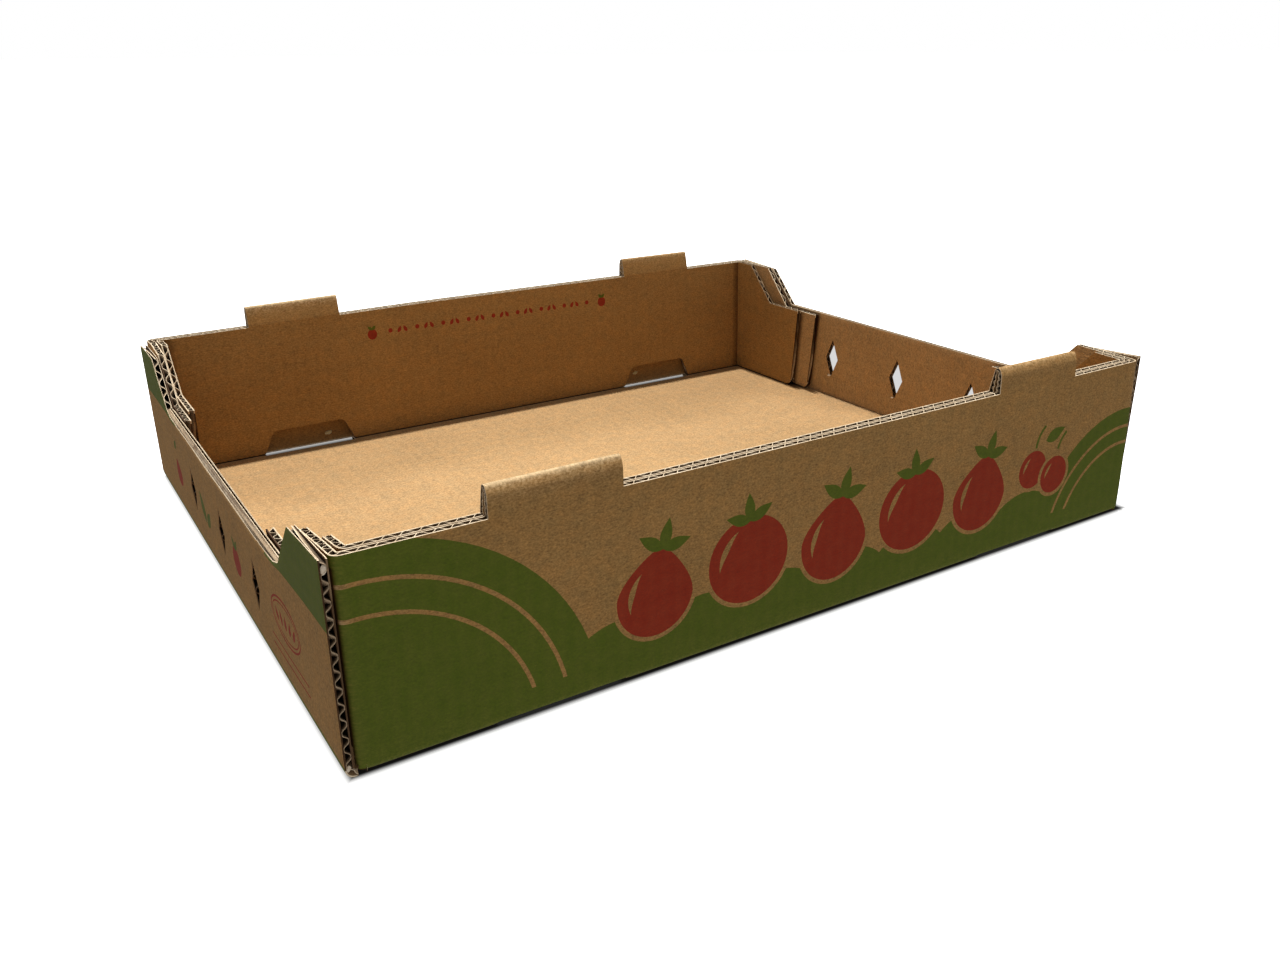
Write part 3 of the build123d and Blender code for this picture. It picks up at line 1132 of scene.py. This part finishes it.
SHADOW = (0.05, 0.017, 0.004)
FACE_SPECULAR = 0.12
EDGE_SPECULAR = 0.2
EDGE_ROUGHNESS = 0.92


def darkened(nodes, base):
    """Colour with painted shade: mixed towards SHADOW by the dark attribute, deep in creases, under plies
    and in the other places that dark_outside and dark_inside give.
    """
    return nodes.mix(nodes.attribute("dark"), base, rgba(SHADOW))


def paper_tone(nodes, strength=1.0):
    """Uneven tone of kraft paper: clouds, fibres, darker and lighter flecks, and painted shading of the
    washboard ripple along the flutes.
    """
    clouds = nodes.noise(9.0, 7.0, 4.0, 0.6)
    patches = nodes.noise(60.0, 45.0, 2.0, 0.5, 3.1)
    grain = nodes.noise(1.2, 0.9, 3.0, 0.7, 7.7)
    fibres = nodes.noise(3.2, 0.35, 3.0, 0.65, 1.9)
    tone = 1.0
    for source, amount in ((clouds, 0.34), (patches, 0.24), (grain, 1.80), (fibres, 0.80)):
        tone = nodes.math("MULTIPLY_ADD", nodes.math("SUBTRACT", source, 0.5), amount * strength, tone)
    # Painted shading of the washboard ripple: faint lighter and darker stripes along the flutes.
    tone = nodes.math("MULTIPLY_ADD", nodes.flutes(), 0.018 * strength, tone)
    for along_s, along_v, shift, amount in ((2.6, 0.5, 11.0, -0.22), (3.4, 0.45, 23.0, 0.16)):
        flecks = nodes.span(nodes.noise(along_s, along_v, 2.0, 0.5, shift), 0.70, 0.76)
        tone = nodes.math("MULTIPLY_ADD", flecks, amount * strength, tone)
    return tone, clouds, fibres, grain


def relief(nodes, fibres, grain):
    """Height of a paper's face: fibres, grain and the flutes below."""
    return nodes.math("MULTIPLY_ADD", nodes.flutes(), 0.45, nodes.math("ADD", fibres, grain))


def liner_material(name, colour, scuff):
    """Bare kraft liner, scuffed lighter where it is worn; on the tab crowns the scuff is partly a painted
    highlight.
    """
    nodes = Material(name)
    tone, clouds, fibres, grain = paper_tone(nodes)
    warm = (colour[0] * 1.04, colour[1] * 0.97, colour[2] * 0.90)
    base = nodes.mix(nodes.span(clouds, 0.35, 0.65), rgba(colour), rgba(warm))
    wear_and_highlight = nodes.attribute("wear_and_highlight")
    scuffed = nodes.math("MULTIPLY", wear_and_highlight, nodes.span(grain, 0.40, 0.62, 0.12, 0.50))
    # Past 0.9 the scuff colour takes over fully; on the tab crowns this is partly a painted highlight.
    bare = nodes.math("MULTIPLY", nodes.math("SUBTRACT", wear_and_highlight, 0.9), 0.8)
    base = darkened(nodes, nodes.mix(nodes.math("MAXIMUM", scuffed, bare), base, rgba(scuff)))
    return nodes.finish(
        nodes.shade(base, tone), nodes.span(fibres, 0.3, 0.7, 0.78, 0.94), FACE_SPECULAR,
        relief(nodes, fibres, grain), 0.035,
    )


def ink_material(name, colour, under):
    """Water-based ink on kraft: thinner over hollows, with bare flecks."""
    nodes = Material(name)
    tone, clouds, fibres, grain = paper_tone(nodes, 0.42)
    bare = nodes.span(nodes.noise(1.1, 0.7, 3.0, 0.7, 31.0), 0.66, 0.80, 0.0, 0.55)
    thin = nodes.span(clouds, 0.30, 0.72, 0.0, 0.06)
    stripes = nodes.math("MULTIPLY_ADD", nodes.flutes(), 0.012, 0.012)
    rubbed = nodes.math("MULTIPLY", nodes.attribute("wear_and_highlight"), nodes.span(grain, 0.46, 0.66, 0.02, 0.18))
    show = nodes.math("ADD", nodes.math("MAXIMUM", bare, rubbed), nodes.math("ADD", thin, stripes))
    base = darkened(nodes, nodes.mix(show, rgba(colour), rgba(under)))
    return nodes.finish(
        nodes.shade(base, tone), nodes.span(grain, 0.3, 0.7, 0.72, 0.88), FACE_SPECULAR,
        relief(nodes, fibres, grain), 0.03,
    )


def edge_material(name, colour, dark, deep=None, blot_size=(5.0, 5.0), roughness=EDGE_ROUGHNESS):
    """Cut or hidden paper: loose fibres, rougher and more uneven than a liner's face.

    deep is its colour inside the flutes, away from a cut edge: a painted shade where light hardly reaches.
    """
    nodes = Material(name)
    fuzz = nodes.noise(0.9, 0.9, 4.0, 0.7)
    blots = nodes.noise(*blot_size, 3.0, 0.6, 5.0)
    base = darkened(nodes, nodes.mix(nodes.span(blots, 0.35, 0.68), rgba(colour), rgba(dark)))
    if deep:
        # Painted shade: darker deep in the flutes, away from a cut edge.
        base = nodes.mix(nodes.span(nodes.attribute("mouth"), 0.05, 0.75), rgba(deep), base)
    uneven = nodes.shade(base, nodes.span(fuzz, 0.3, 0.7, 0.78, 1.18))
    return nodes.finish(uneven, roughness, EDGE_SPECULAR, fuzz, 0.12)


kraft = liner_material("kraft", (0.350, 0.196, 0.066), (0.56, 0.40, 0.22))
inside_kraft = liner_material("inside_kraft", (0.450, 0.288, 0.136), (0.50, 0.35, 0.21))
green_ink = ink_material("green_ink", (0.092, 0.122, 0.010), (0.32, 0.19, 0.07))
red_ink = ink_material("red_ink", (0.290, 0.028, 0.010), (0.38, 0.15, 0.06))
# The hidden side and the fluting darken to painted shade deep in the flutes. shaded_edge is a cut edge in
# painted shade, and the hidden side's colour is also a painted half shade on some cut edges.
hidden_side_and_half_shade = edge_material("hidden_side_and_half_shade", (0.30, 0.19, 0.10), (0.22, 0.14, 0.07), (0.03, 0.018, 0.01))
cut_edge = edge_material("cut_edge", (0.82, 0.67, 0.47), (0.62, 0.47, 0.30))
shaded_edge = edge_material("shaded_edge", (0.10, 0.05, 0.02), (0.05, 0.022, 0.008))
flute_paper = edge_material("flute_paper", (0.52, 0.39, 0.25), (0.40, 0.28, 0.17), (0.04, 0.026, 0.015))
crushed = edge_material("crushed_edge", (0.82, 0.67, 0.48), (0.34, 0.21, 0.12), None, (0.9, 9.0))


# Papers of the board

GRID = 24.0
TAB_STEP = 0.6
TAB_CREASE, TAB_CREASE_PITCH = 0.75, 3.5


def on_tabs(s, b):
    """1 on a rolled tab, 0 beyond the places where it straightens."""
    return ramp(b, TOP_V, TAB_FADE) * ramp(-b, -INNER_V, TAB_FADE) * (np.abs(s) < TAB_S1 + 2)


def tab_creases(b):
    """Cross creases of a rolled tab, from -1 to 1."""
    return np.sin(2 * math.pi * b / TAB_CREASE_PITCH)


def add_outer_liner():
    """Printed face of the blank."""
    shapes = print_shapes()
    lines = bend_lines() + shade_lines() + tab_rows() + grid_lines(GRID)
    corners, triangles = triangulate(lines, [loop for _, loop, _ in shapes])
    flat = np.zeros(len(corners))
    ink = inked(corners[triangles].mean(axis=1), shapes)
    materials = [kraft, green_ink, red_ink, hidden_side_and_half_shade, cut_edge, shaded_edge]
    slots = np.concatenate([ink, np.full(len(triangles), 3)])
    dark = dark_outside(*corners.T)
    paper("outer_liner", corners, triangles, flat, flat - LINER, slots, materials, dark)


def add_inner_liner():
    """Plain face of the blank, creased across the tabs."""
    lines = bend_lines() + shade_lines() + tab_rows(TAB_STEP) + grid_lines(GRID)
    corners, triangles = triangulate(lines)
    s, b = corners[:, 0], np.abs(corners[:, 1])
    crease = TAB_CREASE * on_tabs(s, b) * (0.5 + 0.5 * tab_creases(b)) - BOARD
    middle_s, middle_v = np.abs(corners[triangles].mean(axis=1)).T
    # On the walls the plain side lies in the dark cavity between the plies; it takes the darker, more
    # saturated kraft colour there: painted shade.
    wall_in_shade = (middle_v > FLOOR_V) & (middle_s < OUTER_S)
    slots = np.concatenate([np.full(len(triangles), 2), wall_in_shade])
    materials = [inside_kraft, kraft, hidden_side_and_half_shade, cut_edge, shaded_edge]
    dark = dark_inside(*corners.T)
    paper("inner_liner", corners, triangles, crease + LINER, crease, slots, materials, dark)


# Fluting: steps along its wave and in its bends, how much its crests are flattened, how
# uneven it is, and how it lies on the tabs, as shares of the room between the liners
WAVE_STEPS = 10
WAVE_BEND_STEPS = 5
WAVE_FLAT = 0.12
WAVE_UNEVEN = 0.05
WAVE_DRIFT = 0.035
TAB_WAVE_MIDDLE, TAB_WAVE = -0.45, 0.55

# Lid: the crushed fluting that closes the low edge of an end wall
LID_REACH = 3.4
LID_INSIDE = -2.3
LID_OUTSIDE = -LINER - MEDIUM / 2 - 0.2
LID_UNEVEN = 0.3
LID_SLOPE = 0.6


def add_fluting():
    """Wavy paper between the liners, crushed along the low edges of the end walls."""
    lines = bend_lines(WAVE_BEND_STEPS) + tab_rows(TAB_STEP) + wave_lines(WAVE_STEPS)
    corners, triangles = triangulate(lines)
    s, b = corners[:, 0], np.abs(corners[:, 1])
    room = (BOARD - 2 * LINER - MEDIUM) / 2
    tab = on_tabs(s, b)
    phase = 2 * math.pi * (s / PITCH + WAVE_DRIFT * ripple(s / 13))
    height = (1 + WAVE_FLAT) * np.cos(phase) - WAVE_FLAT * np.cos(3 * phase)
    height *= room * (1 - WAVE_UNEVEN + WAVE_UNEVEN * ripple(s / 31))
    slope = (1 + WAVE_FLAT) * np.sin(phase) - 3 * WAVE_FLAT * np.sin(3 * phase)
    slope *= 2 * math.pi / PITCH * room * (1 - tab)
    on_tab = room * (TAB_WAVE_MIDDLE + TAB_WAVE * tab_creases(b))
    middle = height * (1 - tab) + on_tab * tab - BOARD / 2

    to_edge = (end_s(END) - np.abs(s)) / LID_REACH
    lid = (to_edge < 1) & (b < EAR_FOOT_Y)
    lid_n = LID_INSIDE + (LID_OUTSIDE - LID_INSIDE) * np.clip(to_edge, 0, 1)
    middle = np.where(lid, lid_n + LID_UNEVEN * ripple(corners[:, 1] / 2.3), middle)
    slope = np.where(lid, LID_SLOPE, slope)
    thick = MEDIUM / 2 * np.sqrt(1 + slope ** 2)
    slots = np.tile(lid[triangles].all(axis=1), 2)
    materials = [flute_paper, crushed, flute_paper, cut_edge, shaded_edge]
    no_shade = np.zeros(len(corners))
    paper("fluting", corners, triangles, middle + thick, middle - thick, slots, materials, no_shade)


add_outer_liner()
add_inner_liner()
add_fluting()


# Small extras: drops of glue behind two notches and bits of torn paper


def blob(name, middle, axes, material, seed):
    """Small uneven lump, given its middle and its three half-axes in millimetres."""
    chance = np.random.default_rng(seed)
    form = bmesh.new()
    bmesh.ops.create_icosphere(form, subdivisions=2, radius=1.0)
    turn = Matrix([Vector(axis) for axis in axes]).transposed()
    for vertex in form.verts:
        lumpy = 1 - 0.3 * chance.random()
        vertex.co = (Vector(middle) + turn @ (vertex.co * lumpy)) * MM
    mesh = bpy.data.meshes.new(name)
    form.to_mesh(mesh)
    form.free()
    uv = mesh.uv_layers.new(name="blank")
    for loop in mesh.loops:
        place = mesh.vertices[loop.vertex_index].co
        uv.data[loop.index].uv = (place.x + place.y, place.z)
    mesh.materials.append(material)
    mesh.polygons.foreach_set("use_smooth", np.ones(len(mesh.polygons), bool))
    return add_piece(name, mesh)


glue = edge_material("glue", (0.52, 0.44, 0.25), (0.42, 0.33, 0.16), roughness=0.35)
torn = edge_material("torn_paper", (0.84, 0.72, 0.55), (0.70, 0.56, 0.40))
BITS = (
    ("glue_left", glue, (-137.6, WIDTH / 2 - BOARD, 10.4), ((3.2, 0, 0.5), (-0.3, 0, 1.9), (0, 0.7, 0))),
    ("glue_right", glue, (133.4, WIDTH / 2 - BOARD, 13.0), ((3.0, 0, 0.4), (-0.3, 0, 1.9), (0, 0.7, 0))),
    ("torn_strip_top", torn, (-252.0, -199.3, 94.6), ((1.5, 0, -0.4), (0, 0.6, 0), (0.5, 0, 2.6))),
    ("torn_strip_low", torn, (-252.4, -199.3, 4.6), ((1.2, 0, -0.6), (0, 0.6, 0), (0.8, 0, 1.7))),
    ("torn_vent_1", torn, (249.1, 76.0, 21.2), ((0.6, 0, 0), (0, 2.3, -0.5), (0, 0.2, 0.8))),
    ("torn_vent_2", torn, (249.1, 2.9, 21.0), ((0.6, 0, 0), (0, 1.8, -0.4), (0, 0.2, 0.7))),
    ("torn_vent_3", torn, (-253.6, -73.4, 49.6), ((0.35, 0, 0), (0, 0.8, 0), (0, 0, 1.5))),
    ("torn_vent_4", torn, (-253.6, -0.2, 49.4), ((0.35, 0, 0), (0, 0.7, 0), (0, 0, 1.2))),
    ("torn_vent_5", torn, (-253.6, 73.0, 49.4), ((0.35, 0, 0), (0, 0.7, 0), (0, 0, 1.2))),
)
for index, (name, material, middle, axes) in enumerate(BITS):
    blob(name, middle, axes, material, 4 + index)


# Stage: a white ground that glows a little, in metres across. A painted contact shadow darkens it where the
# tray stands on it, and a painted soft shadow lies behind the tray and to its right, in millimetres.
GROUND_SPAN = 60.0
GROUND_DROP = 0.2
GROUND_WHITE = (0.88, 0.88, 0.88)
GROUND_ROUGHNESS = 0.9
GROUND_GLOW = 0.9
CONTACT_LEFT, CONTACT_FRONT, CONTACT_EASE = 2.5, 0.5, 0.35
CONTACT_LIGHT = (-1.0, 3.5, 0.003, 1.0)
SHADE_LEFT, SHADE_RIGHT, SHADE_FRONT, SHADE_BACK = -240, 196, -120, 90
SHADE_SLANT, SHADE_CORNER = 0.61, -345.0
SHADE_LIGHT = (-60.0, 0.0, 0.27, 1.0)


def outside_of(nodes, value, low, high, ease=1.0):
    """Distance beyond a range in millimetres, counted slower past its high end."""
    above = nodes.math("MULTIPLY", nodes.math("SUBTRACT", value, high * MM), ease)
    return nodes.math("MAXIMUM", nodes.math("SUBTRACT", low * MM, value), above)


def light_level(nodes, distance, low, high, dark, light):
    """Light on the ground from dark to light over a range of distances in millimetres."""
    return nodes.span(distance, low * MM, high * MM, dark, light, "SMOOTHSTEP")


def ground_material():
    nodes = Material("ground_white")
    place = nodes.add("ShaderNodeTexCoord", "Object")
    x, y = (nodes.add("ShaderNodeSeparateXYZ", axis, (place,)) for axis in "XY")
    contact = nodes.math(
        "MAXIMUM",
        outside_of(nodes, x, CONTACT_LEFT - LENGTH / 2, LENGTH / 2, CONTACT_EASE),
        outside_of(nodes, y, CONTACT_FRONT - WIDTH / 2, WIDTH / 2, CONTACT_EASE),
    )
    beyond = nodes.math(
        "MAXIMUM",
        outside_of(nodes, x, SHADE_LEFT, LENGTH / 2 + SHADE_RIGHT),
        outside_of(nodes, y, SHADE_FRONT, WIDTH / 2 + SHADE_BACK),
    )
    slant = nodes.math("MULTIPLY_ADD", x, SHADE_SLANT, SHADE_CORNER * MM)
    shade = nodes.math("MAXIMUM", beyond, nodes.math("SUBTRACT", slant, y))
    # Painted shadows: this light level scales both the ground's colour and its glow.
    lit = nodes.math(
        "MULTIPLY", light_level(nodes, contact, *CONTACT_LIGHT), light_level(nodes, shade, *SHADE_LIGHT)
    )
    for name, value in (
        ("Base Color", nodes.shade(GROUND_WHITE, lit)), ("Roughness", GROUND_ROUGHNESS),
        ("Emission Color", (1, 1, 1, 1)), ("Emission Strength", nodes.math("MULTIPLY", lit, GROUND_GLOW)),
    ):
        nodes.plug(nodes.shader.inputs[name], value)
    return nodes.material


ground_mesh = bpy.data.meshes.new("ground")
square = box(-GROUND_SPAN, -GROUND_SPAN, GROUND_SPAN, GROUND_SPAN)
ground_mesh.from_pydata([(x, y, 0) for x, y in square], [], [(0, 1, 2, 3)])
ground_mesh.materials.append(ground_material())
ground = bpy.data.objects.new("ground", ground_mesh)
ground.location.z = -GROUND_DROP * MM
ground.visible_diffuse = False
ground.visible_glossy = False
bpy.context.collection.objects.link(ground)


# Light: a sky that is dimmer overhead than round the horizon, and two distant lamps

SKY = ((0.47, (0.60, 0.60, 0.61)), (0.49, (1, 1, 1)), (0.53, (1, 1, 1)), (0.57, (0.27, 0.27, 0.27)))


def add_sky():
    """World whose colour goes by height, from straight below at 0 to straight above at 1."""
    world = bpy.data.worlds.new("studio")
    world.use_nodes = True
    nodes = Nodes(world.node_tree)
    up = nodes.add("ShaderNodeSeparateXYZ", "Z", (nodes.add("ShaderNodeTexCoord", "Generated"),))
    colour = nodes.add("ShaderNodeValToRGB", "Color", (nodes.span(up, -1, 1),))
    steps = colour.node.color_ramp.elements
    for index, (place, grey) in enumerate(SKY):
        step = steps[index] if index < len(steps) else steps.new(place)
        step.position, step.color = place, rgba(grey)
    background = nodes.tree.nodes["Background"]
    nodes.plug(background.inputs["Color"], colour)
    nodes.plug(background.inputs["Strength"], 1.0)
    bpy.context.scene.world = world


def add_sun(name, behind, right, strength, softness):
    """Distant lamp that leans behind and to the right of upright, by tangents."""
    data = bpy.data.lights.new(name, "SUN")
    data.energy = strength
    data.angle = math.radians(softness)
    lamp = bpy.data.objects.new(name, data)
    lamp.rotation_euler = Vector((right, behind, 1.0)).to_track_quat("Z", "Y").to_euler()
    lamp.location = (right, behind, 1.0)
    bpy.context.collection.objects.link(lamp)


add_sky()
add_sun("overhead", 0.13, 0.03, 3.8, 3.0)
add_sun("behind", 0.95, 0.20, 1.05, 12.0)


# Camera of the photograph: its place in millimetres, its turns in degrees, and its focal
# length in pixels of the image
CAMERA_PLACE = (-341.92, -563.98, 273.93)
CAMERA_DOWN, CAMERA_RIGHT, CAMERA_ROLL = 21.987, 32.253, -0.353
FOCAL_LENGTH = 1064.18
IMAGE_WIDTH = 1280
SENSOR_WIDTH = 36

camera_data = bpy.data.cameras.new("camera")
camera = bpy.data.objects.new("camera", camera_data)
bpy.context.collection.objects.link(camera)
bpy.context.scene.camera = camera
camera_data.sensor_width = SENSOR_WIDTH
camera_data.lens = FOCAL_LENGTH / IMAGE_WIDTH * SENSOR_WIDTH
camera_data.clip_start = 0.01
camera.location = Vector(CAMERA_PLACE) * MM
upright = Euler((math.radians(90 - CAMERA_DOWN), 0, math.radians(-CAMERA_RIGHT))).to_quaternion()
camera.rotation_euler = (upright @ Quaternion((0, 0, 1), math.radians(CAMERA_ROLL))).to_euler()
bpy.context.scene.view_settings.view_transform = "Standard"
